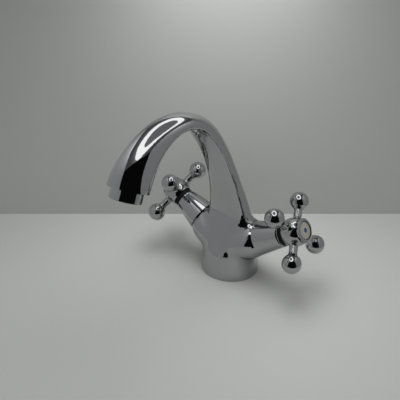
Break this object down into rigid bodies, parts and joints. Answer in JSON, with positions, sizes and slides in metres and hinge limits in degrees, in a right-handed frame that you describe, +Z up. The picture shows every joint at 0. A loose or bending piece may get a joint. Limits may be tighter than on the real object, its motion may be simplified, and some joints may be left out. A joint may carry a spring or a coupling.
{
  "type": "basin mixer tap",
  "caption": "Two-handle basin mixer tap with an arched spout, ball-ended cross handles, ceramic disc valves and one fixing hole.",
  "frame": {"origin": "centre of the foot's underside, on the surface that the tap stands on", "axes": "+Z up along the tap's axis; the spout reaches towards -Y; the cold handle is at +X and the hot handle at -X"},
  "size_m": [0.1658, 0.1668, 0.1657],
  "materials": {
    "body_chrome": "polished chrome plate on brass",
    "trim_chrome": "polished chrome plate",
    "handle_chrome": "polished chrome plate",
    "valve_brass": "machined brass",
    "spring_steel": "bright steel",
    "seal_rubber": "matte black rubber",
    "valve_ceramic": "lapped white ceramic",
    "aerator_plastic": "moulded plastic",
    "nut_nylon": "black moulded nylon",
    "index_porcelain": "cream glazed porcelain",
    "cold_dot_enamel": "blue enamel",
    "hot_dot_enamel": "red enamel"
  },
  "bodies": {
    "tap_body": {"body_casting": "body_chrome", "foot_seal": "seal_rubber", "aerator_housing": "trim_chrome", "aerator_insert": "aerator_plastic", "aerator_washer": "seal_rubber", "cold_seat_seal": "seal_rubber", "cold_fixed_disc": "valve_ceramic", "cold_bonnet": "valve_brass", "cold_bonnet_seal": "seal_rubber", "cold_sleeve": "trim_chrome", "cold_sleeve_nut": "nut_nylon", "hot_seat_seal": "seal_rubber", "hot_fixed_disc": "valve_ceramic", "hot_bonnet": "valve_brass", "hot_bonnet_seal": "seal_rubber", "hot_sleeve": "trim_chrome", "hot_sleeve_nut": "nut_nylon"},
    "cold_control": {"cold_moving_disc": "valve_ceramic", "cold_spindle": "valve_brass", "cold_spindle_o_rings": "seal_rubber", "cold_circlip": "spring_steel", "cold_handle": "handle_chrome", "cold_handle_screw": "spring_steel", "cold_cap_ring": "trim_chrome", "cold_index_disc": "index_porcelain", "cold_index_dot": "cold_dot_enamel"},
    "hot_control": {"hot_moving_disc": "valve_ceramic", "hot_spindle": "valve_brass", "hot_spindle_o_rings": "seal_rubber", "hot_circlip": "spring_steel", "hot_handle": "handle_chrome", "hot_handle_screw": "spring_steel", "hot_cap_ring": "trim_chrome", "hot_index_disc": "index_porcelain", "hot_index_dot": "hot_dot_enamel"}
  },
  "joints": [
    {"name": "cold_handle_turn", "type": "hinge", "parent": "tap_body", "child": "cold_control", "pos_m": [0, 0, 0.0253], "axis": [0.8854, 0, 0.4648], "range_deg": [0, 90]},
    {"name": "hot_handle_turn", "type": "hinge", "parent": "tap_body", "child": "hot_control", "pos_m": [0, 0, 0.0253], "axis": [-0.8854, 0, 0.4648], "range_deg": [0, 90]}
  ]
}
